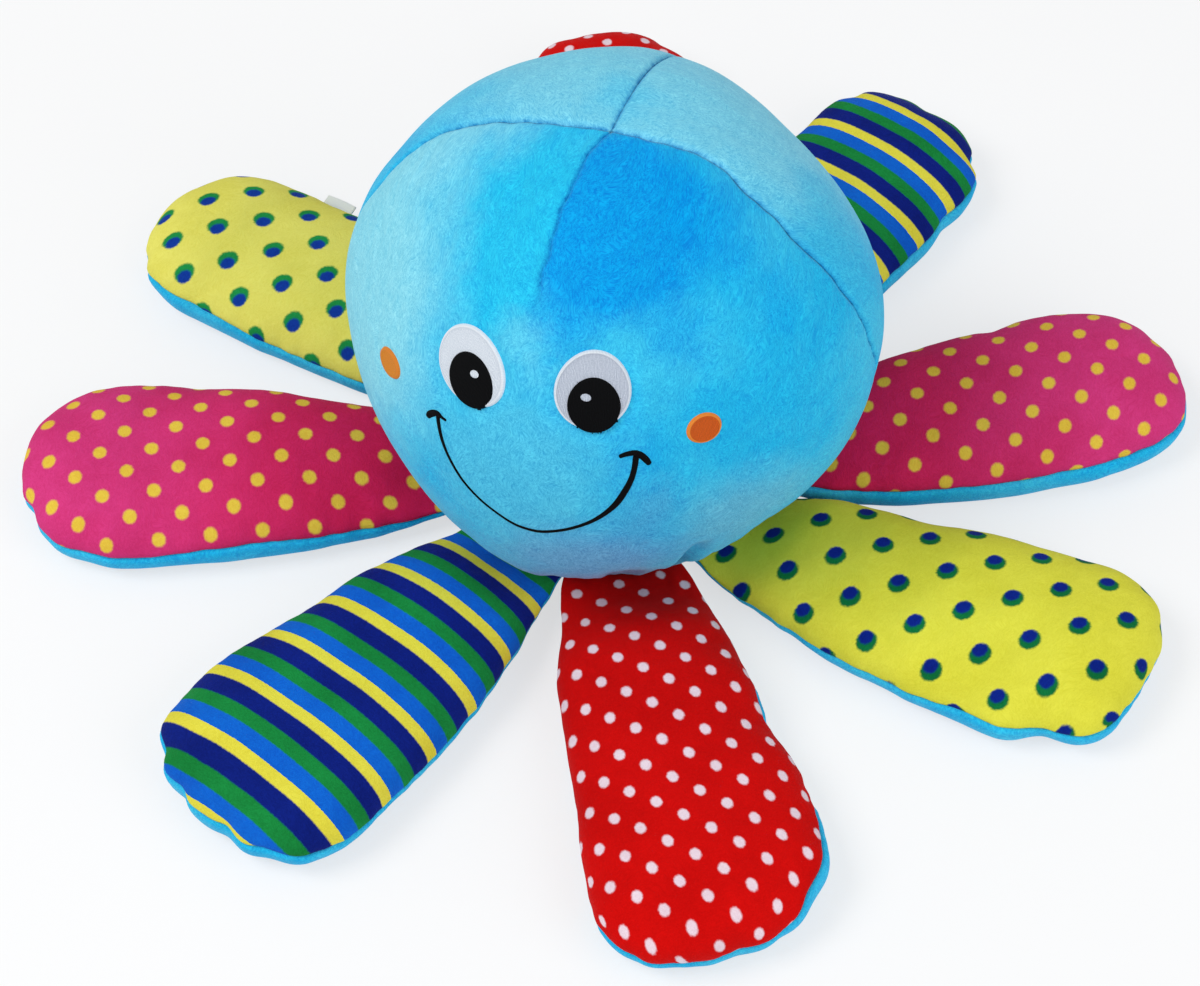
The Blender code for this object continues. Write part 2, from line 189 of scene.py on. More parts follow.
def read_between(marks, place):
    """The value at a place from a row of marks, each a place and a value."""
    for (before, low), (after, high) in zip(marks, marks[1:]):
        if place <= after:
            return between(low, high, smooth_step((place - before) / (after - before)))
    return marks[-1][1]


def turned_from(azimuth, middle):
    return atan2(sin(azimuth - middle), cos(azimuth - middle))


def toward(azimuth):
    return Vector((cos(azimuth), sin(azimuth), 0))


# Materials

def srgb(red, green, blue):
    """A colour from its 0 to 255 values on a screen."""
    shares = [value / 255 for value in (red, green, blue)]
    linear = [share / 12.92 if share <= 0.04045 else ((share + 0.055) / 1.055) ** 2.4 for share in shares]
    return (*linear, 1.0)


class Graph:
    """The nodes of a material or of the world, added one by one."""

    def __init__(self, owner):
        owner.use_nodes = True
        self.nodes = owner.node_tree.nodes
        self.links = owner.node_tree.links

    def feed(self, made, inputs):
        """Gives each input its link or its value."""
        for key, value in inputs.items():
            if isinstance(value, bpy.types.NodeSocket):
                self.links.new(value, made.inputs[key])
            else:
                made.inputs[key].default_value = value

    def node(self, kind, inputs=None, **settings):
        made = self.nodes.new(f"ShaderNode{kind}")
        for key, value in settings.items():
            setattr(made, key, value)
        self.feed(made, inputs or {})
        return made

    def math(self, operation, first, second=0.0, third=0.0, clamp=False):
        inputs = {0: first, 1: second, 2: third}
        return self.node("Math", inputs, operation=operation, use_clamp=clamp).outputs[0]

    def direct(self):
        """1 where the camera sees, also by way of glossy or clear things, and 0 for other light."""
        rays = self.node("LightPath").outputs
        others = self.math("ADD", rays["Is Glossy Ray"], rays["Is Transmission Ray"])
        return self.math("ADD", rays["Is Camera Ray"], others, clamp=True)

    def mix_shaders(self, share, first, second, output):
        mixed = self.node("MixShader", {0: share, 1: first.outputs[0], 2: second.outputs[0]})
        self.links.new(mixed.outputs[0], self.nodes[output].inputs["Surface"])


class Cloth(Graph):
    """A material of cloth. Places on the cloth are in millimetres, places on the object in metres."""

    def __init__(self, name):
        self.material = bpy.data.materials.new(name)
        super().__init__(self.material)
        self.uv = self.node("UVMap", uv_map="cloth").outputs["UV"]

    def on_cloth(self):
        return self.placed(self.uv, scale=(1000, 1000, 1000))

    def on_object(self):
        return self.node("TexCoord").outputs["Object"]

    def attribute(self, name):
        return self.node("Attribute", attribute_name=name).outputs["Fac"]

    def axes(self, vector):
        made = self.node("SeparateXYZ", {"Vector": vector}).outputs
        return made["X"], made["Y"]

    def vector(self, operation, first, second=(0, 0, 0)):
        made = self.node("VectorMath", {0: first, 1: second}, operation=operation)
        return made.outputs["Value" if operation == "LENGTH" else "Vector"]

    def placed(self, vector, scale=(1, 1, 1), turn=0.0):
        inputs = {"Vector": vector, "Scale": scale, "Rotation": (0, 0, turn)}
        return self.node("Mapping", inputs).outputs["Vector"]

    def noise(self, vector, scale=1.0, detail=2.0, roughness=0.5, output="Fac"):
        inputs = {"Vector": vector, "Scale": scale, "Detail": detail, "Roughness": roughness}
        return self.node("TexNoise", inputs, noise_dimensions="3D").outputs[output]

    def shaken(self, place, scale, reach, detail=2.0, roughness=0.5):
        """A place moved about by noise, by up to half the reach each way."""
        coloured = self.noise(place, scale, detail, roughness, output="Color")
        shake = self.vector("SUBTRACT", coloured, (0.5, 0.5, 0.5))
        return self.vector("ADD", place, self.vector("MULTIPLY", shake, reach))

    def ranged(self, value, low, high, to_low=0.0, to_high=1.0, kind="SMOOTHSTEP"):
        inputs = {"Value": value, "From Min": low, "From Max": high, "To Min": to_low, "To Max": to_high}
        return self.node("MapRange", inputs, interpolation_type=kind).outputs["Result"]

    def wave(self, value, factor):
        return self.math("SINE", self.math("MULTIPLY", value, factor))

    def mix(self, factor, first, second, blend="MIX"):
        inputs = {0: factor, 6: first, 7: second}
        return self.node("Mix", inputs, data_type="RGBA", blend_type=blend).outputs[2]

    def bump(self, height, distance, strength, **normal):
        inputs = {"Height": height, "Distance": distance, "Strength": strength, **normal}
        return self.node("Bump", inputs).outputs["Normal"]

    def finish(self, colour, normal, roughness=0.9, specular=0.06, sheen=0.0, sheen_roughness=0.5,
               sheen_tint=(1, 1, 1, 1)):
        self.feed(self.nodes["Principled BSDF"], {
            "Base Color": colour, "Normal": normal, "Roughness": roughness, "Specular IOR Level": specular,
            "Sheen Weight": sheen, "Sheen Roughness": sheen_roughness, "Sheen Tint": sheen_tint,
        })
        return self.material


def pile(cloth, colour, depth, streak_turn=0.0):
    """Brushed pile over a colour: fine streaks of paler and deeper tufts, and a soft bumpy face."""
    bent = cloth.shaken(cloth.on_cloth(), 0.07, (14, 14, 14))
    streaks, fine = [
        cloth.noise(cloth.placed(bent, scale=scale, turn=streak_turn), detail=detail, roughness=0.6)
        for scale, detail in (((1.7, 0.75, 1.0), 3.0), ((4.2, 2.4, 1.0), 2.0))
    ]
    clumps = cloth.noise(bent, scale=0.22)
    mixed = cloth.math("MULTIPLY_ADD", fine, 0.5, cloth.math("MULTIPLY", streaks, 0.5))
    tone = cloth.math("MULTIPLY_ADD", clumps, 0.12, cloth.math("MULTIPLY", mixed, 0.88))
    toned = cloth.mix(depth, colour, cloth.ranged(tone, 0.34, 0.66), blend="SOFT_LIGHT")
    normal = cloth.bump(clumps, 0.7 * mm, 0.25)
    return toned, cloth.bump(mixed, 0.5 * mm, 0.6, Normal=normal)


# Where the pile lies another way and so looks paler or deeper, and where light and shade are painted on the
# head: azimuth, elevation, how far in millimetres from there it starts to fade and where it ends, how strong
# it is, its colour and, for some, the side of the dart that it keeps to. The pale zones on the upper back and
# the left side are painted light and sheen; the greyer zones at the lower right and under the chin are
# painted shade, purplish under the chin as painted bounce light from the arms
BACK_NAP_AND_PAINTED_LIGHT_ZONES = (
    # painted light and sheen: the upper back is paler where the light falls on it
    (90, 48, 52, 100, 0.8, (130, 212, 234)),
    (4, 34, 6, 30, 0.6, (62, 188, 230)),
    (100, 80, 4, 16, 0.5, (70, 190, 230)),
    (160, 50, 4, 20, 0.5, (70, 190, 230)),
    (20, 40, 4, 18, 0.5, (70, 190, 230)),
)
FACE_NAP_AND_PAINTED_LIGHT_ZONES = (
    (-122, 52, 30, 58, 0.8, (32, 186, 230), "before"),
    (-76, 68, 24, 40, 0.92, (2, 148, 224), "beyond"),
    (-24, 62, 6, 26, 0.7, (2, 148, 224), "beyond"),
    (-84, 44, 4, 14, 0.6, (4, 151, 224)),
    (-50, 44, 4, 15, 0.6, (10, 156, 226)),
    (-20, 41, 4, 14, 0.55, (14, 160, 226)),
    (-66, 18, 5, 16, 0.45, (14, 160, 226)),
    (-95, 39, 2, 16, 0.4, (124, 208, 226)),
    (-92, 12, 14, 46, 0.6, (90, 190, 220)),
    # painted light and sheen: this zone and the next make the left side paler, lit from the left
    (-152, 20, 26, 64, 0.85, (140, 214, 230)),
    (172, 55, 10, 44, 0.6, (150, 218, 232)),
    # painted shade: these three zones make the lower right and the chin greyer, purplish under the chin as
    # painted bounce light
    (-40, -10, 8, 34, 0.7, (104, 182, 210)),
    (-75, -20, 10, 40, 0.6, (112, 150, 200)),
    (-78, -42, 14, 36, 0.9, (124, 136, 190)),
    (-62, 4, 4, 18, 0.5, (84, 160, 208)),
)


def blue_plush(name, zones=()):
    """Blue plush. On the head it is brushed in zones with ragged edges, some of which are painted light and
    shade, and parts along the seams.
    """
    cloth = Cloth(name)
    place = cloth.on_object()
    colour = cloth.mix(cloth.ranged(cloth.noise(place, scale=24.0, detail=3.0), 0.36, 0.68),
                       srgb(30, 177, 229), srgb(60, 189, 230))
    if zones:
        beyond = cloth.attribute("beyond_dart")
        sides = {"beyond": beyond, "before": cloth.math("SUBTRACT", 1.0, beyond)}
        ragged = cloth.shaken(place, 38.0, (0.03, 0.03, 0.03), detail=5.0, roughness=0.62)
        for azimuth, elevation, inner, outer, strength, laid, *side in zones:
            centre = head_place(radians(azimuth), radians(elevation), head_radius)
            away = cloth.vector("LENGTH", cloth.vector("SUBTRACT", ragged, tuple(centre)))
            share = cloth.ranged(away, inner * mm, outer * mm, strength, 0.0)
            if side:
                share = cloth.math("MULTIPLY", share, sides[side[0]])
            # each zone lays its colour over the plush: nap patches, and in some zones painted light and shade
            colour = cloth.mix(share, colour, srgb(*laid))
        broken = cloth.ranged(cloth.noise(place, scale=420.0, detail=3.0), 0.3, 0.7, 0.15, 0.85)
        parting = cloth.math("MULTIPLY", cloth.attribute("parting"), broken)
        colour = cloth.mix(parting, colour, srgb(16, 132, 196))
    toned, normal = pile(cloth, colour, 0.55, streak_turn=radians(12))
    return cloth.finish(toned, normal, sheen=0.2, sheen_roughness=0.35, sheen_tint=(0.8, 0.94, 1.0, 1.0))


def dot_place(cloth, pitch, angle, origin, stretch, wobble=0.35):
    """Where a point lies from the nearest dot's middle, in millimetres."""
    shaken = cloth.shaken(cloth.on_cloth(), 1.1, (2 * wobble, 2 * wobble, 0))
    turned = cloth.placed(cloth.vector("SUBTRACT", shaken, (*origin, 0)), turn=-radians(angle))
    counted = cloth.vector("ADD", cloth.vector("DIVIDE", turned, (*pitch, 1)), (0.5, 0.5, 0))
    left = cloth.vector("SUBTRACT", cloth.vector("FRACTION", counted), (0.5, 0.5, 0))
    straight = cloth.placed(cloth.vector("MULTIPLY", left, (*pitch, 0)), turn=radians(angle))
    return cloth.placed(straight, scale=(1, 1 / stretch, 1))


def disc(cloth, place, radius, centre=(0, 0)):
    """1 inside a disc and 0 outside, with an edge a millimetre wide."""
    length = cloth.vector("LENGTH", cloth.vector("SUBTRACT", place, (*centre, 0)))
    return cloth.ranged(length, radius - 0.5, radius + 0.5, 1.0, 0.0)


def brushed_print(cloth, printed):
    laid = cloth.ranged(cloth.noise(cloth.on_cloth(), scale=0.035, detail=3.0), 0.3, 0.7, 0.3, 0.7)
    colour, normal = pile(cloth, cloth.mix(0.35, printed, laid, blend="SOFT_LIGHT"), 0.2)
    return cloth.finish(colour, normal, sheen=0.05, sheen_roughness=0.3)


def dotted_plush(name, root_shaded_grounds, dots, pitch, angle, origin, radius, stretch):
    """Dots on a ground whose colour goes from the first at the root to the second at the tip; the deeper root
    colour is painted shade.
    """
    cloth = Cloth(name)
    place = dot_place(cloth, pitch, angle, origin, stretch)
    along, _ = cloth.axes(cloth.uv)
    # painted shade: the ground is deeper at the root, near the head
    ground = cloth.mix(cloth.ranged(along, 0.02, 0.15), *root_shaded_grounds)
    return brushed_print(cloth, cloth.mix(disc(cloth, place, radius), ground, dots))


def yellow_plush(name, colours, pitch, angle, origin, lean):
    """Yellow with navy dots, each on a green one that shows past it on one side."""
    ground, green, navy = colours
    cloth = Cloth(name)
    place = dot_place(cloth, pitch, angle, origin, 1.12, wobble=0.45)
    backed = cloth.mix(disc(cloth, place, 3.3), ground, green)
    return brushed_print(cloth, cloth.mix(disc(cloth, place, 2.3, centre=lean), backed, navy))


def striped_plush(name, first, pitch, tilt):
    """Stripes square across the arm, from the root: yellow, navy, green and blue, over and over."""
    cloth = Cloth(name)
    place = cloth.on_cloth()
    along, across = cloth.axes(place)
    shaken = cloth.math("MULTIPLY_ADD", cloth.noise(place), 0.5, along)
    slanted = cloth.math("MULTIPLY_ADD", across, tilt, shaken)
    share = cloth.math("FRACT", cloth.math("DIVIDE", cloth.math("SUBTRACT", slanted, first), pitch))
    ramp = cloth.node("ValToRGB", {"Fac": share})
    stripes = ((0.195, (222, 212, 68)), (0.50, (12, 30, 118)), (0.735, (22, 128, 58)), (1.0, (14, 96, 200)))
    edge = 0.012
    start = 0.0
    stops = []
    for end, colour in stripes:
        stops += [(start + edge, srgb(*colour)), (end - edge, srgb(*colour))]
        start = end
    elements = ramp.color_ramp.elements
    for position, colour in stops[1:-1]:
        elements.new(position).color = colour
    elements[0].position, elements[0].color = stops[0]
    elements[-1].position, elements[-1].color = stops[-1]
    return brushed_print(cloth, ramp.outputs["Color"])


def satin(name, colour, thread_shade, border=None, shape=None, specular=0.2):
    """Satin stitching: threads side by side, each raised a little with a soft gloss, and painted shade in the
    grooves between them.

    Shape is the oval that is filled. Border is the colour of the row of stitches that goes round it.
    """
    thread_pitch = 0.42
    cloth = Cloth(name)
    place = cloth.on_cloth()
    across, _ = cloth.axes(place)
    shifted = cloth.math("MULTIPLY_ADD", cloth.noise(place, scale=0.35), 0.9, across)
    strands = cloth.noise(cloth.placed(place, scale=(2.2, 2.2, 1.0)), detail=3.0, roughness=0.7)
    mixed = cloth.math("MULTIPLY_ADD", cloth.wave(shifted, 2 * pi / thread_pitch), 0.28, strands)
    # painted shade: the thread shade colour lies in the low parts between the threads, where the bump sinks
    coloured = cloth.mix(cloth.ranged(mixed, 0.25, 0.8, kind="LINEAR"), thread_shade, colour)
    if border:
        middle_x, middle_y, first, second, tilt = shape
        moved = cloth.vector("SUBTRACT", place, (middle_x, middle_y, 0))
        straight = cloth.placed(moved, turn=-radians(tilt))
        reach = cloth.vector("LENGTH", cloth.vector("DIVIDE", straight, (first, second, 1)))
        ring = cloth.ranged(reach, 1 - 1.5 / second, 1 - 1.15 / second)
        x, y = cloth.axes(straight)
        stitches = cloth.wave(cloth.math("ARCTAN2", y, x), 2 * round(pi * (first + second)))
        # painted shade between the stitches of the border
        bordered = cloth.mix(cloth.ranged(stitches, -1, 1, 0.0, 0.35), border, thread_shade)
        coloured = cloth.mix(ring, coloured, bordered)
        # painted shade along a line at the inner edge of the raised border
        from_line = cloth.math("ABSOLUTE", cloth.math("SUBTRACT", reach, 1 - 1.4 / second))
        coloured = cloth.mix(cloth.ranged(from_line, 0, 0.035, 0.5, 0), coloured, thread_shade)
    normal = cloth.bump(mixed, 0.25 * mm, 0.6)
    return cloth.finish(coloured, normal, roughness=0.6, specular=specular)


def fibre():
    cloth = Cloth("fibre fill")
    clumps = cloth.noise(cloth.on_object(), scale=90.0, detail=4.0, roughness=0.7)
    colour = cloth.mix(clumps, srgb(214, 214, 208), srgb(250, 250, 246))
    return cloth.finish(colour, cloth.bump(clumps, 2 * mm, 0.8), roughness=0.95, sheen=0.2)


def label_tape():
    cloth = Cloth("label tape")
    along, across = cloth.axes(cloth.on_cloth())
    weave = cloth.math("MULTIPLY", cloth.wave(along, 2 * pi / 0.4), cloth.wave(across, 2 * pi / 0.5))
    colour = cloth.mix(cloth.ranged(weave, -1, 1, kind="LINEAR"), srgb(214, 220, 218), srgb(240, 243, 242))
    return cloth.finish(colour, cloth.bump(weave, 0.15 * mm, 0.5), roughness=0.6)


# Meshes

def linked(name, mesh_name, bm, material):
    mesh = bpy.data.meshes.new(mesh_name)
    bm.to_mesh(mesh)
    bm.free()
    mesh.materials.append(material)
    obj = bpy.data.objects.new(name, mesh)
    bpy.context.scene.collection.objects.link(obj)
    return obj


def piece(name, bm, material, body, thickness=None):
    """Makes the finished piece from its bmesh, and says what it rides on and stands for."""
    obj = linked(f"{name}_piece", name, bm, material)
    obj.data.shade_smooth()
    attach(obj, body)
    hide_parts(name)
    if thickness:
        modifier = obj.modifiers.new("fabric", "SOLIDIFY")
        modifier.thickness = thickness
        modifier.offset = -1.0


def grid_vertices(bm, columns, rows):
    """Adds a grid and gives each of its vertices in turn, with its column and its row."""
    for vert in bmesh.ops.create_grid(bm, x_segments=columns, y_segments=rows, size=1.0)["verts"]:
        yield vert, round((vert.co.x + 1) / 2 * columns), round((vert.co.y + 1) / 2 * rows)


def lay_cloth(bm, layer, marked):
    """Gives each corner of the faces its place on the cloth."""
    for face in bm.faces:
        for loop in face.loops:
            loop[layer].uv = marked[loop.vert]


def cloth_grid(columns, rows, place, names=()):
    """A grid of cloth. For a column and a row, place gives where the vertex goes and its place on the cloth.

    Names are those of the further values that place gives for each vertex.
    """
    bm = bmesh.new()
    layer = bm.loops.layers.uv.new("cloth")
    further = [bm.verts.layers.float.new(name) for name in names]
    marked = {}
    for vert, column, row in grid_vertices(bm, columns, rows):
        vert.co, marked[vert], *values = place(column, row)
        for kept, value in zip(further, values):
            vert[kept] = value
    lay_cloth(bm, layer, marked)
    return bm


def weld(bm):
    bmesh.ops.remove_doubles(bm, verts=bm.verts, dist=weld_distance)


def weld_and_face(bm, outward):
    """Joins what meets, and turns the faces so that most of them look along what outward gives."""
    weld(bm)
    bmesh.ops.recalc_face_normals(bm, faces=bm.faces)
    if sum(face.normal.dot(outward(face)) for face in bm.faces) < 0:
        bmesh.ops.reverse_faces(bm, faces=bm.faces)


# Head

EYES = (
    # Side, azimuth and elevation of the eye's middle, then the white, the pupil and the glint. Each has its
    # place across and up, its half-length, its half-width and the tilt of its length, in millimetres and
    # degrees. The colours are those of the white's thread and of the painted shade between its threads. The
    # right eye's greyer colours are painted shade, as the light falls from the left
    ("left", -105.6, 31.5, (-0.5, -0.4, 14.0, 11.5, -26.6), (1.4, -4.2, 9.5, 8.0, -43.7),
     (2.4, -1.5, 2.4, 1.85, 8), (230, 235, 241), (186, 196, 210)),
    # painted shade: the right eye's thread colours are greyer, as the light falls from the left
    ("right", -75.1, 33.6, (0.5, -0.4, 12.8, 11.85, 82.0), (1.0, -4.9, 9.4, 8.2, 98.0),
     (-1.4, -2.3, 2.45, 1.85, -12), (206, 212, 223), (156, 165, 183)),
)
CHEEKS = (
    # Side, azimuth and elevation, then the shape in the same way, the colour of its middle and of its border.
    # The left cheek's paler, yellower orange is painted light and satin sheen
    ("left", -127.5, 18.3, (-2.1, -1.9, 6.9, 4.8, 4), (226, 138, 34), (218, 128, 40)),
    ("right", -49.5, 22.1, (0.6, -1.0, 6.35, 5.6, -4), (216, 92, 14), (234, 138, 50)),
)


def on_face(azimuth, elevation, across, up):
    """The azimuth and elevation of a place in millimetres from a point on the head."""
    return (
        radians(azimuth) + across * mm / (head_radius * cos(radians(elevation))),
        radians(elevation) + up * mm / head_radius,
    )


def face_dip(azimuth, elevation):
    """How far the stitching of the eyes pulls the plush in."""
    dip = 0.0
    for _, middle, level, white, *_ in EYES:
        middle, level = radians(middle), radians(level)
        across = turned_from(azimuth, middle) * head_radius * cos(level) / mm - white[0]
        up = (elevation - level) * head_radius / mm - white[1]
        tilt = radians(white[4])
        first = across * cos(tilt) + up * sin(tilt)
        second = up * cos(tilt) - across * sin(tilt)
        reach = hypot(first / white[2], second / white[3])
        dip = max(dip, eye_dip * smooth_step((1.30 - reach) / 0.32))
    return dip


def ring_filled(elevation):
    """How far the head has spread towards the ring, from 0 to 1."""
    return smooth_step((-elevation - ring_fill_start) / ring_fill_angle)


def head_form(azimuth, elevation):
    """The head's outer radius before its seams: a ball that draws in below and spreads again at the ring."""
    drawn = smooth_step(-elevation / low_draw_angle)
    filled = ring_filled(elevation)
    corner = head_corner_share * cos(4 * azimuth) * cos(elevation) * (1 - filled)
    return head_radius * (1 - low_draw_share * drawn + ring_fill_share * filled) * (1 + corner)


def head_place(azimuth, elevation, radius):
    level = radius * cos(elevation)
    lean = head_lean * (1 - ring_filled(elevation))
    height = head_centre_height + radius * sin(elevation)
    return Vector((level * cos(azimuth), level * sin(azimuth) + lean, height))


def lumps(azimuth, elevation):
    height = 0.0
    for middle, level, reach, rise in HEAD_LUMPS:
        across = turned_from(azimuth, radians(middle)) * cos(elevation)
        away = hypot(across, elevation - radians(level)) / radians(reach)
        height += rise * mm * bell(away)
    return height * (1 - ring_filled(elevation))


def from_seam(azimuth, elevation, seam):
    """How far a place on the head lies from a seam, along the skin."""
    turn = turned_from(azimuth, seam)
    flat = cos(elevation) * head_radius
    return flat * abs(sin(turn)) if abs(turn) < pi / 2 else flat


def swayed(azimuth, elevation):
    """The azimuth of a place once the seams near it have strayed from their straight lines."""
    turn = 0.0
    flat = max(cos(elevation) * head_radius, 8 * mm)
    for seam, marks in SWAYS:
        middle = radians(seam)
        near = smooth_step(1 - abs(turned_from(azimuth, middle)) / seam_sway_reach)
        turn += near * radians(read_between(marks, degrees(elevation)))
        close = smooth_step(1 - from_seam(azimuth, elevation, middle) / seam_band)
        turn += close * seam_waver / flat * noise(Vector((elevation * 13, seam, 0)))
    return azimuth + turn


def seam_shares(elevation):
    """Each seam with its strength at an elevation, from 0 to 1. Only the dart's fades, at its lower end."""
    dart = smooth_step((elevation - dart_end) / dart_fade)
    return (*((seam, 1.0) for seam in side_seams), (dart_seam, dart))


def seam_pull(azimuth, elevation, place):
    """How far the seams draw the plush in: a narrow groove that wavers a little along its length."""
    pull = 0.0
    waver = 1 + 0.3 * noise(place * 110) + 0.25 * noise(place * 420)
    for seam, share in seam_shares(elevation):
        away = from_seam(azimuth, elevation, seam)
        near = max(0.0, 1 - away / (seam_half_width * waver))
        pull = max(pull, share * (seam_depth * near * near + groove_depth * bell(away / groove_width)))
    return pull


def gathers(azimuth, elevation):
    """The folds where the head is gathered into the ring, strongest at the bottom."""
    reach = smooth_step((-elevation - radians(18)) / radians(34))
    round_ring = toward(azimuth)
    folds = noise(round_ring * 7.5 + Vector((0, 0, elevation * 0.7)))
    folds += 0.6 * noise(round_ring * 15 + Vector((3.1, 0, 0)))
    beside = turned_from(azimuth, notch_azimuth + 0.12 * (elevation + 0.4)) / notch_half_width
    notch = bell(beside) * smooth_step((-elevation - radians(15)) / radians(9))
    return (gather_depth * folds * reach - notch_depth * notch) * (1 - 0.7 * ring_filled(elevation))


def head_skin(azimuth, elevation, stand_off=0.0, seams=None):
    """A place on the skin. Seams is the azimuth as it was before the seams near it strayed."""
    form = head_form(azimuth, elevation)
    place = head_place(azimuth, elevation, form)
    radius = form + lumps(azimuth, elevation) + gathers(azimuth, elevation)
    radius += 0.45 * mm * noise(place * 22) + 0.2 * mm * noise(place * 70)
    radius -= face_dip(azimuth, elevation)
    if seams is not None:
        radius -= seam_pull(seams, elevation, place)
    return head_place(azimuth, elevation, radius + stand_off)


def ring_elevation():
    return -acos(ring_radius / low_radius)


def spread(start, end, dense):
    """Places from start to end in radians, close together near the dense ones."""
    places = [start]
    while places[-1] < end - 1e-6:
        near = min(abs(places[-1] - middle) for middle in dense) * head_radius
        step = seam_spacing if near < seam_band else head_spacing
        places.append(min(end, places[-1] + step / head_radius))
    if places[-1] - places[-2] < 0.2 * seam_spacing / head_radius:
        places.pop(-2)
    return places


def head_panel(name, start, end, material):
    """One panel of the skin between two seams, a hair's gap from its neighbours."""
    dense = [start, end] + ([dart_seam] if start < dart_seam < end else [])
    turns = spread(start, end, dense)
    rise = pi / 2 - ring_elevation()
    rows = round(rise * head_radius / head_spacing)
    middle = (start + end) / 2

    def place(column, row):
        elevation = ring_elevation() + rise * row / rows
        azimuth = turns[column]
        across = (azimuth - middle) * head_radius * cos(elevation)
        skin = head_skin(swayed(azimuth, elevation), elevation, seams=azimuth)
        seams = seam_shares(elevation)
        dart = seams[-1][1]
        parting = max(
            share * bell(from_seam(azimuth, elevation, seam) / parting_reach) for seam, share in seams
        )
        softness = between(9 * mm, 0.8 * mm, dart) / max(cos(elevation) * head_radius, mm)
        beyond = smooth_step(0.5 + turned_from(azimuth, dart_seam) / softness / 2)
        return skin + toward(middle) * seam_slit, (across, elevation * head_radius), parting, beyond

    bm = cloth_grid(len(turns) - 1, rows, place, ("parting", "beyond_dart"))
    weld(bm)
    piece(name, bm, material, "head", plush_thickness)


def base_height(radius):
    rise = ring_height - base_rim_drop
    share = max(0.0, radius - base_flat_radius) / (ring_radius - base_flat_radius)
    return rise * share * share


def base_panel(material):
    """The round panel under the head, dished up to the ring where everything is sewn together."""
    def place(column, row):
        share = row / base_rows
        radius = (ring_radius - base_ring_gap) * share
        level = toward(2 * pi * column / base_columns) * radius
        folds = 0.5 * mm * noise(level * 120) * smooth_step((share - 0.6) / 0.3)
        height = base_height(radius) + 0.2 * mm + folds * (1 - smooth_step((share - 0.93) / 0.07))
        return level + Vector((0, 0, max(height, 0.05 * mm))), (level.x, level.y)

    bm = cloth_grid(base_columns, base_rows, place)
    weld_and_face(bm, lambda face: Vector((0, 0, -1)))
    piece("base_panel", bm, material, "head", plush_thickness)


def head_core(material):
    """The fibre inside the head, a gap inside the skin."""
    bm = bmesh.new()
    bmesh.ops.create_icosphere(bm, subdivisions=5, radius=1.0)
    for vert in bm.verts:
        elevation = asin(max(-1.0, min(1.0, vert.co.z)))
        azimuth = atan2(vert.co.y, vert.co.x)
        radius = head_form(azimuth, elevation) - head_fibre_inset + 0.6 * mm * noise(vert.co * 9)
        place = head_place(azimuth, elevation, radius + min(0.0, lumps(azimuth, elevation)))
        reach = min(hypot(place.x, place.y), ring_radius)
        place.z = max(place.z, base_height(reach) + plush_thickness + 1.2 * mm)
        vert.co = place
    piece("head_stuffing", bm, material, "head")


# Stitched face

def from_head_centre(face):
    return face.calc_center_median() - Vector((0, 0, head_centre_height))


def patch(name, material, azimuth, elevation, shape, height, jag, rim=0.0):
    """A stitched oval on the head: a low dome whose edge dives into the pile, with uneven stitch ends."""
    across, up, first, second, tilt = shape
    tilt = radians(tilt)
    around = max(64, round(2 * pi * (first + second) / 2 / 0.33))
    rings = max(6, round(second / 0.6))

    def place(column, row):
        angle = 2 * pi * (column % around) / around
        edge = 1
        if row == rings:
            stitch = Vector((cos(angle) * first * 1.9, sin(angle) * first * 1.9, elevation))
            edge += jag * noise(stitch) / second
        reach = sin(row / rings * pi / 2) * edge
        along, aside = reach * first * cos(angle), reach * second * sin(angle)
        x = across + along * cos(tilt) - aside * sin(tilt)
        y = up + along * sin(tilt) + aside * cos(tilt)
        inset = (1 - reach) * second
        dome = smooth_step(inset / 0.9)
        rise = height * dome - 0.45 * (1 - dome) + bell((inset - 1.2) / 0.45) * rim
        return head_skin(*on_face(azimuth, elevation, x, y), rise * mm), (x * mm, y * mm)

    bm = cloth_grid(around, rings, place)
    weld_and_face(bm, from_head_centre)
    piece(name, bm, material, "head", patch_thickness)


mouth_azimuth = -89.4
mouth_elevation = 10.3

# The smile: places in millimetres across and up from the middle of the mouth, with the half-width there, and
# how far the thread spreads past it
thread_spread = 0.10
SMILE = (
    (-30.7, 10.2, 1.0), (-29.4, 6.7, 0.85), (-27.5, 2.6, 0.75), (-24.7, -1.8, 0.58), (-20.7, -6.7, 0.5),
    (-17.4, -9.9, 0.42), (-12.4, -13.5, 0.38), (-7.4, -16.3, 0.36), (-2.3, -18.8, 0.45), (1.2, -19.8, 0.58),
    (6.3, -20.0, 0.65), (11.5, -18.5, 0.62), (16.7, -16.3, 0.68), (21.8, -13.3, 0.82), (26.0, -9.7, 1.05),
    (29.4, -5.6, 1.3), (31.9, -1.0, 1.32), (34.0, 3.8, 1.15), (35.1, 8.2, 1.1), (35.7, 12.5, 1.25),
)
SMILE_ENDS = (
    ((-34.6, 6.3, 1.0), (-34.1, 7.7, 1.3), (-32.5, 9.4, 1.25), (-30.7, 10.4, 0.95), (-28.7, 10.2, 0.5),
     (-26.9, 10.2, 0.3)),
    ((30.2, 12.5, 0.7), (32.6, 13.2, 0.95), (35.5, 13.2, 1.15), (37.6, 11.7, 1.25), (39.1, 9.7, 1.15),
     (39.9, 8.2, 0.8)),
)


def curve_place(points, share):
    """A smooth place along a row of points, with the half-width there."""
    reach = share * (len(points) - 1)
    index = min(int(reach), len(points) - 2)
    t = reach - index
    four = [points[min(max(index + step, 0), len(points) - 1)] for step in (-1, 0, 1, 2)]
    return [
        0.5 * (2 * b + (c - a) * t + (2 * a - 5 * b + 4 * c - d) * t * t + (3 * b - a - 3 * c + d) * t ** 3)
        for a, b, c, d in zip(*four)
    ]


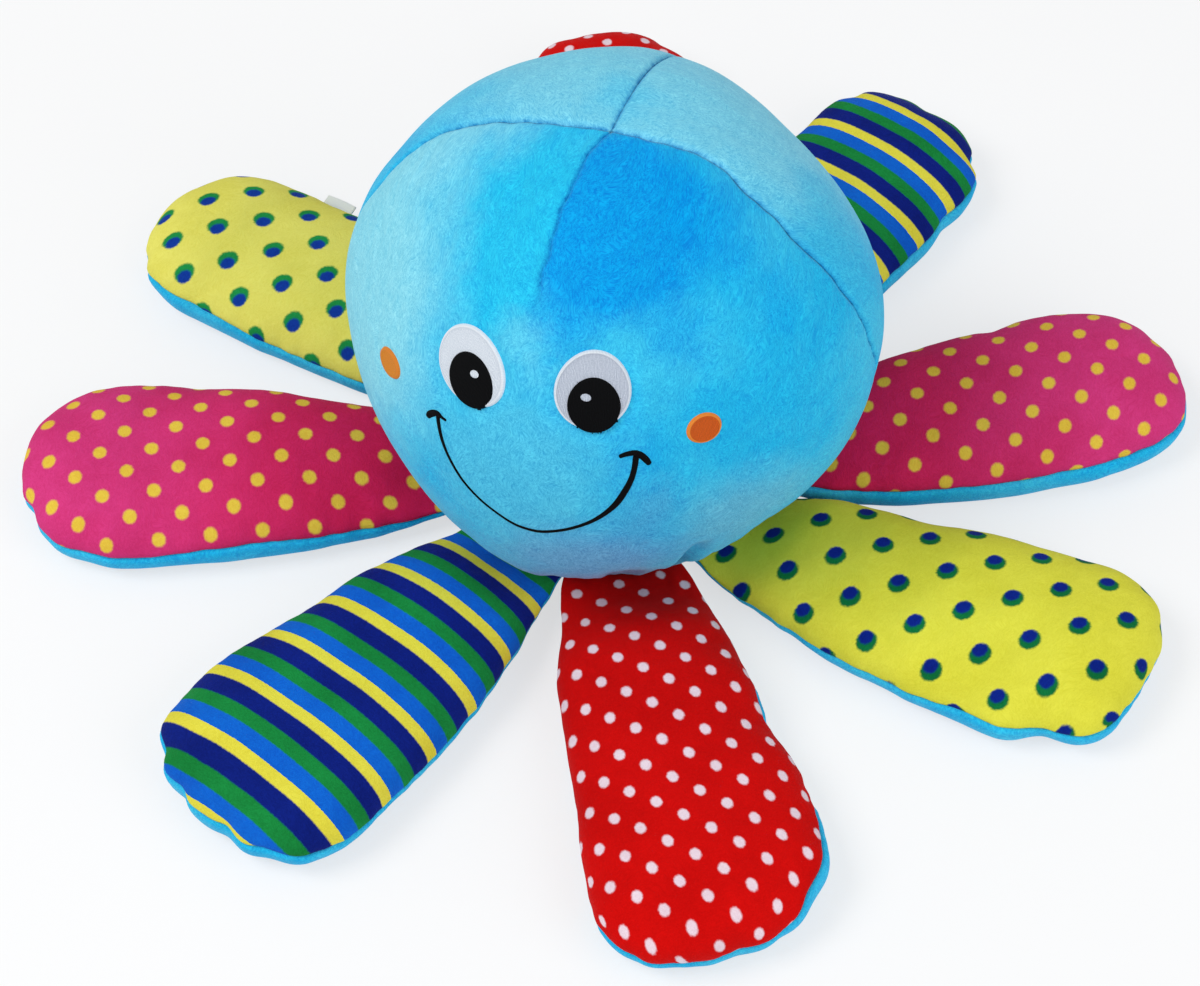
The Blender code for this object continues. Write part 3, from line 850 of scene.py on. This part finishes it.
def stroke(bm, marked, points, height):
    """One stitched stroke of the smile, rounded across, with its ends closed."""
    length = sum(dist(first[:2], second[:2]) for first, second in zip(points, points[1:]))
    steps = max(12, round(length / 0.30))
    lanes = 6
    for vert, column, row in grid_vertices(bm, steps, lanes):
        lane = row / lanes * 2 - 1
        share = column / steps
        x, y, half = curve_place(points, share)
        ahead = curve_place(points, min(1.0, share + 0.004))
        behind = curve_place(points, max(0.0, share - 0.004))
        run = Vector((ahead[0] - behind[0], ahead[1] - behind[1])).normalized()
        end = min(share, 1 - share) * length
        rounding = sqrt(max(0.05, 1 - max(0.0, 1 - end / half) ** 2))
        jag = 0.10 * noise(Vector((x * 2.6, y * 2.6, lane * 4))) if abs(lane) > 0.9 else 0.0
        off = ((half + thread_spread) * rounding + jag) * lane
        x, y = x - run.y * off, y + run.x * off
        dome = sqrt(max(0.0, 1 - lane * lane))
        rise = (height * dome * rounding - 0.3) * mm
        vert.co = head_skin(*on_face(mouth_azimuth, mouth_elevation, x, y), rise)
        marked[vert] = (share * length * mm, off * mm)


def smile(material):
    bm = bmesh.new()
    layer = bm.loops.layers.uv.new("cloth")
    marked = {}
    for points, height in ((SMILE, 0.75), *((points, 0.85) for points in SMILE_ENDS)):
        stroke(bm, marked, points, height)
    lay_cloth(bm, layer, marked)
    bmesh.ops.recalc_face_normals(bm, faces=bm.faces)
    for face in bm.faces:
        if face.normal.dot(from_head_centre(face)) < 0:
            face.normal_flip()
    piece("mouth", bm, material, "head", stroke_thickness)


def stitched_face():
    """The eyes, the cheeks and the smile."""
    black = satin("black thread", srgb(11, 12, 14), srgb(3, 3, 4), specular=0.04)
    for side, azimuth, elevation, eye, pupil, glint, thread, thread_shade in EYES:
        white = satin(f"{side} eye thread", srgb(*thread), srgb(*thread_shade), srgb(232, 236, 241), eye)
        patch(f"{side}_eye_white", white, azimuth, elevation, eye, 0.75, 0.25, rim=0.4)
        patch(f"{side}_pupil", black, azimuth, elevation, pupil, 1.25, 0.9)
        patch(f"{side}_glint", white, azimuth, elevation, glint, 1.7, 0.5)
    for side, azimuth, elevation, cheek, filled, edged in CHEEKS:
        # painted shade between the threads: a darker copy of the cheek's orange
        thread_shade = srgb(*(0.82 * value for value in filled))
        orange = satin(f"{side} cheek thread", srgb(*filled), thread_shade, srgb(*edged), cheek)
        patch(f"{side}_cheek", orange, azimuth, elevation, cheek, 0.6, 0.4, rim=0.3)
    smile(black)


# Arms

class Arm:
    """One arm's shape, in its own frame, in metres."""

    def __init__(self, name, azimuth, length, wide, heading, bend, crown, slant, square, roots, tip_height,
                 seam, dents):
        self.name = f"{name}_arm"
        self.fabric = f"{name.split('_')[0]}_plush"
        self.length, self.wide = length, wide
        self.heading, self.bend, self.tip_height = tan(radians(heading)), bend, tip_height * mm
        self.crown, self.slant, self.square = crown, slant, square
        self.roots, self.seam, self.dents = roots, seam, dents
        self.seed = Vector((azimuth * 0.37, azimuth * 0.11, 5.0))
        turn = radians(azimuth)
        root = Matrix.Translation((flex_radius * cos(turn), flex_radius * sin(turn), 0))
        self.frame = root @ Matrix.Rotation(turn, 4, "Z")
        self.count = round(1.12 * length / arm_spacing)
        self.stations = self.edge_stations()
        self.outlines = {side: self.edge_places(side) for side in (-1, 1)}

    def half_width(self, x, side):
        share = x / self.length
        if share >= arm_straight_share:
            k = min((share - arm_straight_share) / (1 - arm_straight_share), 1.0)
            return self.wide * (1 - k ** self.square) ** (1 / self.square)
        s = share / arm_straight_share
        root = self.roots[side > 0] * mm
        return root * (1 - s) ** 2 + 2 * s * (1 - s) * arm_middle_half_width + self.wide * s * s

    def edge_stations(self):
        """How far along the arm its ribs end, in even steps of the outline from the root to the tip."""
        fine = []
        for step in range(801):
            x = self.length * (1 - (1 - step / 800) ** 2)
            fine.append((x, (self.half_width(x, -1) + self.half_width(x, 1)) / 2))
        lengths = [0.0]
        for first, second in zip(fine, fine[1:]):
            lengths.append(lengths[-1] + dist(first, second))
        stations = []
        index = 0
        for step in range(self.count + 1):
            want = lengths[-1] * step / self.count
            while index < len(lengths) - 2 and lengths[index + 1] < want:
                index += 1
            share = (want - lengths[index]) / (lengths[index + 1] - lengths[index])
            stations.append(between(fine[index][0], fine[index + 1][0], share))
        return stations

    def edge_places(self, side):
        """The ends of the ribs on one side: along, half the width, and how far round from the tip."""
        places = [(x, self.half_width(x, side)) for x in self.stations]
        from_tip = 0.0
        marked = []
        for here, after in zip(reversed(places), reversed(places[1:] + places[-1:])):
            from_tip += dist(here, after)
            marked.append((*here, side * from_tip))
        return marked[::-1]

    def spine_place(self, x):
        """Where the rib from an edge place starts, on the middle line."""
        turn_start = spine_turn_share * self.length
        end = self.length - spine_turn_share * self.wide
        if x <= turn_start:
            return x
        return between(turn_start, end, (x - turn_start) / (self.length - turn_start))

    def crown_at(self, x):
        share = x / self.length
        rise = sin(min((share + 0.05) / 0.48, 1.0) * pi / 2)
        if share > arm_straight_share:
            rise *= sqrt(max(0.0, 1 - ((share - arm_straight_share) / 0.24) ** 2))
        clear_of_head = 1 - 0.55 * (1 - smooth_step(share / 0.2))
        return self.crown * rise * clear_of_head * smooth_step(0.4 + share / 0.05)

    def wide_height(self, x):
        """The height of the arm's widest place."""
        return between(flex_height, self.tip_height, x / self.length)

    def floor_height(self, x):
        """The height of the arm's underside, which rises to the ring at the root."""
        return self.wide_height(x) * (1 - smooth_step(0.3 + x / (0.32 * self.length)))

    def seam_above(self, x, from_tip):
        """How far the seam lies above the arm's widest place."""
        place = max(from_tip / mm, self.seam[0][0])
        return read_between(self.seam, place) * smooth_step(x / (0.15 * self.length)) * mm

    def slanted(self, share):
        return self.slant * min(max((share - 0.4) / 0.5, 0.0), 1.0)

    def ripple(self, *place):
        return noise(Vector(place) + self.seed)

    def shifted(self, x, y):
        """The bend, heading and slant of the whole arm."""
        share = x / self.length
        along = x + self.slanted(share) * y
        round_ring = flex_radius - sqrt(max(flex_radius ** 2 - y * y, 0.0))
        along -= root_curve_share * round_ring * (1 - smooth_step(x / root_curve_reach))
        return along, y + x * self.heading + self.bend * share * share

    def cloth_place(self, along, across):
        """Where a point seen from above lies on the printed cloth, measured over the crown."""
        share = min(max(along / self.length, 0.0), 1.0)
        aside = across - along * self.heading - self.bend * share * share
        x = min(max(along - self.slanted(share) * aside, 0.0), self.length)
        half = max(self.half_width(x, copysign(1, aside)), 1e-4)
        reach = asin(min(abs(aside) / half, 1.0))
        steps = 10
        arc = 0.0
        for step in range(steps):
            angle = reach * (step + 0.5) / steps
            arc += hypot(half * cos(angle), self.crown_at(x) * sin(angle)) * reach / steps
        return Vector((along, copysign(min(arc, 1.35 * abs(aside)), aside)))

    def edge_shift(self, x, y, from_tip):
        """The slight waves and the dents of the sewn outline."""
        shift = (0.35 + 0.75 * smooth_step((x / self.length - 0.8) / 0.2)) * self.ripple(x * 75, y * 75, 0)
        for place, reach, depth in self.dents:
            shift -= depth * bell((from_tip / mm - place) / reach)
        return shift * mm

    def folds(self, from_tip, away):
        """Folds that run in from the seam, small ones everywhere and a few long ones."""
        small = self.ripple(from_tip * 190, away * 40, 0) * bell(away / (6 * mm))
        long = self.ripple(from_tip * 60, away * 12, 9) * bell(away / (15 * mm))
        return (0.6 * small + 0.9 * long) * mm

    def rib(self, column, upper):
        """One rib of a panel from the middle line to the seam: its places, and where each is on the cloth."""
        index = self.count - abs(column - self.count)
        side = -1 if column < self.count else 1
        x, half, from_tip = self.outlines[side][index]
        spine_x = self.spine_place(x)
        spine, edge = Vector((spine_x, 0)), Vector((x, side * half))
        run = (edge - spine).normalized()
        edge += run * self.edge_shift(edge.x, edge.y, from_tip)
        reach = (edge - spine).length
        wide, floor = self.wide_height(x), self.floor_height(x)
        top = self.wide_height(spine_x) + self.crown_at(spine_x)
        corner = min(wide, 0.45 * reach)

        def section(turn):
            """Turn is 0 on the crown, 1 at the widest place, 2 where the corner meets the floor, 3 inside."""
            if turn > 2:
                out = (reach - corner) * (3 - turn)
                return out, self.floor_height(between(spine_x, x, out / reach))
            angle = (turn if turn <= 1 else turn - 1) * pi / 2
            up, aside = max(0.0, cos(angle)), sin(angle)
            if turn <= 1:
                return reach * aside ** crown_roundness, wide + (top - wide) * up ** crown_roundness
            inward = corner * (1 - up ** corner_roundness)
            return reach - inward, wide - (wide - floor) * aside ** corner_roundness

        above = self.seam_above(x, from_tip)
        if above >= 0:
            lift = min(above / max(top - wide, 0.1 * mm), 0.9)
            seam_turn = acos(lift ** (1 / crown_roundness)) / (pi / 2)
        else:
            drop = min(-above / max(wide - floor, 0.1 * mm), 0.95)
            seam_turn = 1 + asin(drop ** (1 / corner_roundness)) / (pi / 2)
        seam = Vector(section(seam_turn))
        inside = Vector((reach - 9 * mm, wide))
        places = []
        travel = 0.0
        steep = 0.0
        before = None
        for row in range(arm_rows + 1):
            share = row / arm_rows
            if upper:
                turn = seam_turn * share
            elif share < floor_rows_share:
                turn = 3 - share / floor_rows_share
            else:
                turn = between(2.0, seam_turn, (share - floor_rows_share) / (1 - floor_rows_share))
            here = Vector(section(turn))
            away = (here - seam).length
            outward = (here - inside).normalized() if (here - inside).length > mm else Vector((0, 1))
            if here.x < reach - 12 * mm:
                outward = Vector((0, 1 if upper else -1))
            flat = spine + run * here.x
            roll = max(0.0, 1 - away / (2.0 * mm))
            beside_spine = smooth_step(here.x / min(12 * mm, 0.6 * reach))
            shift = self.folds(from_tip, away) * beside_spine - 0.8 * mm * roll * roll
            lump = self.ripple(flat.x * 28, flat.y * 28, 0) + 0.5 * self.ripple(flat.x * 60, flat.y * 60, 3)
            if upper:
                shift += 1.3 * mm * lump * min(1.0, away / (7 * mm))
                pleat = self.ripple(flat.x * 20, flat.y * 210, 7) * bell(flat.x / (14 * mm))
                shift += 1.1 * mm * pleat * smooth_step(flat.x / (3 * mm))
            elif turn > 1.9:
                shift = 0.5 * mm * lump * smooth_step(away / (8 * mm))
            moved = here + outward * shift + Vector((0, seam_slit if upper else -seam_slit))
            if before is not None:
                length = (here - before).length
                travel += length
                if turn > 1:
                    steep += length
                elif abs(run.x) > 0.2:
                    steep += abs(run.x) * max(0.0, length - 1.2 * (here.x - before.x))
            before = here
            along, across = self.shifted(*(spine + run * moved.x))
            flat_along, flat_across = self.shifted(*(spine + run * min(here.x, reach)))
            if upper:
                mark = self.cloth_place(flat_along, flat_across) + run * steep
            else:
                mark = spine + run * travel
            places.append((Vector((along, across, max(moved.y, least_height))), mark))
        return places


def arm_panel(arm, upper, material):
    """One panel of an arm."""
    ribs = [arm.rib(column, upper) for column in range(2 * arm.count + 1)]
    bm = cloth_grid(2 * arm.count, arm_rows, lambda column, row: ribs[column][row])
    weld_and_face(bm, lambda face: Vector((0, 0, 1 if upper else -1)))
    bm.transform(arm.frame)
    name = f"{arm.name}_{'top' if upper else 'underside'}"
    piece(name, bm, material, arm.name, plush_thickness)


def arm_core(arm, material):
    """The fibre inside an arm: a flat pillow a gap inside both panels."""
    count = 48
    rows = 8
    inset = plush_thickness + 1.6 * mm
    bm = bmesh.new()
    for upper in (True, False):
        made = bmesh.ops.create_grid(bm, x_segments=count, y_segments=2 * rows, size=1.0)
        for vert in made["verts"]:
            share = (vert.co.x + 1) / 2
            aside = sin(vert.co.y * pi / 2)
            x = between(0.05 * arm.length, arm.length - 2.5 * inset, sin(share * pi / 2))
            half = max(arm.half_width(x, copysign(1, aside)) - 3 * inset, 0.0)
            end = sqrt(max(0.0, 1 - (2 * max(share, 0.5) - 1) ** 6))
            lift = cos(vert.co.y * pi / 2) * end
            middle = arm.wide_height(x)
            if upper:
                height = middle + max(arm.crown_at(x) - inset, 0.3 * mm) * lift
            else:
                height = middle - max(middle - arm.floor_height(x) - inset, 0.3 * mm) * lift
            along, across = arm.shifted(x, aside * half)
            vert.co = (along, across, height)
    weld(bm)
    bmesh.ops.holes_fill(bm, edges=[edge for edge in bm.edges if edge.is_boundary])
    bmesh.ops.recalc_face_normals(bm, faces=bm.faces)
    bm.transform(arm.frame)
    piece(f"{arm.name}_stuffing", bm, material, arm.name)


# Label
label_place = 0.1000
label_length = 11 * mm
label_reach = 6 * mm
label_inset = 1.2 * mm
label_curl = 1.6 * mm
label_thickness = 0.5 * mm


def side_label(arm, material):
    """A blank woven label, folded over and caught in the side seam."""
    x, half, from_tip = min(arm.outlines[-1], key=lambda station: abs(station[0] - label_place))
    seam = arm.wide_height(x) + arm.seam_above(x, from_tip)
    columns, rows = 16, 14

    def place(column, row):
        along = label_place + (column / columns - 0.5) * label_length
        out = row / rows
        curl = label_curl * out * out + 0.3 * mm * sin(column / columns * pi * 1.3) * out
        x, y = arm.shifted(along, -(half - label_inset) - out * label_reach)
        return Vector((x, y, seam + curl)), (along, out * label_reach)

    bm = cloth_grid(columns, rows, place)
    bmesh.ops.recalc_face_normals(bm, faces=bm.faces)
    bm.transform(arm.frame)
    piece("side_label", bm, material, arm.name, label_thickness)


# Stage

def stage():
    """A pale floor that keeps the toy's shadow, and looks nearly white where it is seen."""
    material = bpy.data.materials.new("pale floor")
    graph = Graph(material)
    shader = graph.nodes["Principled BSDF"]
    graph.feed(shader, {"Base Color": (0.86, 0.86, 0.87, 1.0), "Roughness": 0.8})
    glow = graph.node("Emission", {"Strength": 1.0})
    graph.mix_shaders(graph.math("MULTIPLY", graph.direct(), 0.65), shader, glow, "Material Output")
    bm = bmesh.new()
    bmesh.ops.create_grid(bm, x_segments=1, y_segments=1, size=6.0)
    linked("floor", "floor", bm, material)


def world():
    """A soft, slightly blue light from all round, which looks white where it is seen."""
    made = bpy.data.worlds.new("studio")
    bpy.context.scene.world = made
    graph = Graph(made)
    light = graph.nodes["Background"]
    graph.feed(light, {"Color": (0.95, 0.98, 1.0, 1.0), "Strength": 0.52})
    white = graph.node("Background", {"Color": (1, 1, 1, 1), "Strength": 1.0})
    graph.mix_shaders(graph.direct(), light, white, "World Output")


def aimed(name, data, place, target):
    """Sets up a lamp or the camera."""
    obj = bpy.data.objects.new(name, data)
    bpy.context.scene.collection.objects.link(obj)
    obj.location = place
    obj.rotation_euler = (Vector(target) - Vector(place)).to_track_quat("-Z", "Y").to_euler()
    return obj


def lamp(name, place, size, power, colour):
    data = bpy.data.lights.new(name, "AREA")
    data.shape = "SQUARE"
    data.size = size
    data.energy = power
    data.color = colour
    aimed(name, data, place, (0, 0, 0.08))


def camera():
    data = bpy.data.cameras.new("camera")
    data.sensor_width = 36.0
    data.lens = 102.4
    bpy.context.scene.camera = aimed("camera", data, (0.2397, -0.6770, 0.9161), (0.0113, -0.0397, 0.0474))


camera()
stage()
world()
lamp("key", (-0.9, -0.7, 1.5), 0.9, 18.5, (1.0, 0.99, 0.97))
lamp("fill", (1.3, -0.5, 0.9), 1.2, 9.5, (0.97, 0.98, 1.0))
bpy.context.scene.view_settings.view_transform = "Standard"

blue = blue_plush("blue plush")
face_blue = blue_plush("face plush", FACE_NAP_AND_PAINTED_LIGHT_ZONES)
back_blue = blue_plush("back plush", BACK_NAP_AND_PAINTED_LIGHT_ZONES)
# painted shade: each first colour, the deeper one, is the ground at the root
root_shaded_reds = (srgb(196, 8, 8), srgb(204, 8, 6))
root_shaded_pinks = (srgb(204, 30, 78), srgb(208, 56, 122))
pale = srgb(232, 208, 218)
gold = srgb(226, 190, 66)
yellows = (srgb(220, 216, 66), srgb(12, 108, 56), srgb(10, 34, 128))
# painted light: a paler copy of the yellow print for the left arm, lit more by the key lamp from the left
lit_left_yellows = (srgb(226, 220, 100), srgb(28, 138, 68), srgb(16, 56, 150))
red_dots = dotted_plush("red plush", root_shaded_reds, pale, (9.28, 11.03), 49.3, (3.4, 10.1), 2.0, 0.85)
printed = {
    "striped_front_arm": striped_plush("striped front plush", 15.6, 21.8, 0.05),
    "striped_back_arm": striped_plush("striped back plush", 16.0, 20.2, 0.0),
    "red_front_arm": red_dots,
    "red_back_arm": red_dots,
    "yellow_right_arm": yellow_plush(
        "yellow right plush", yellows, (15.33, 17.66), 44.3, (7.2, 10.7), (-0.8, 1.2)),
    "yellow_left_arm": yellow_plush(
        "yellow left plush", lit_left_yellows, (14.97, 16.28), 50.0, (8.7, 0.0), (-0.9, 1.2)),
    "pink_right_arm": dotted_plush(
        "pink right plush", root_shaded_pinks, gold, (11.88, 12.87), 50.1, (7.2, 0.0), 2.2, 1.1),
    "pink_left_arm": dotted_plush(
        "pink left plush", root_shaded_pinks, gold, (12.16, 12.14), 49.8, (2.3, 8.9), 2.25, 1.1),
}

head_panel("face_panel", -2 * quarter_turn, 0.0, face_blue)
head_panel("back_right_panel", 0.0, quarter_turn, back_blue)
head_panel("back_left_panel", quarter_turn, 2 * quarter_turn, back_blue)
base_panel(blue)
fill = fibre()
head_core(fill)
stitched_face()
for shape in ARMS:
    arm = Arm(*shape)
    arm_panel(arm, True, printed[arm.name])
    arm_panel(arm, False, blue)
    arm_core(arm, fill)
    if arm.name == "yellow_left_arm":
        side_label(arm, label_tape())
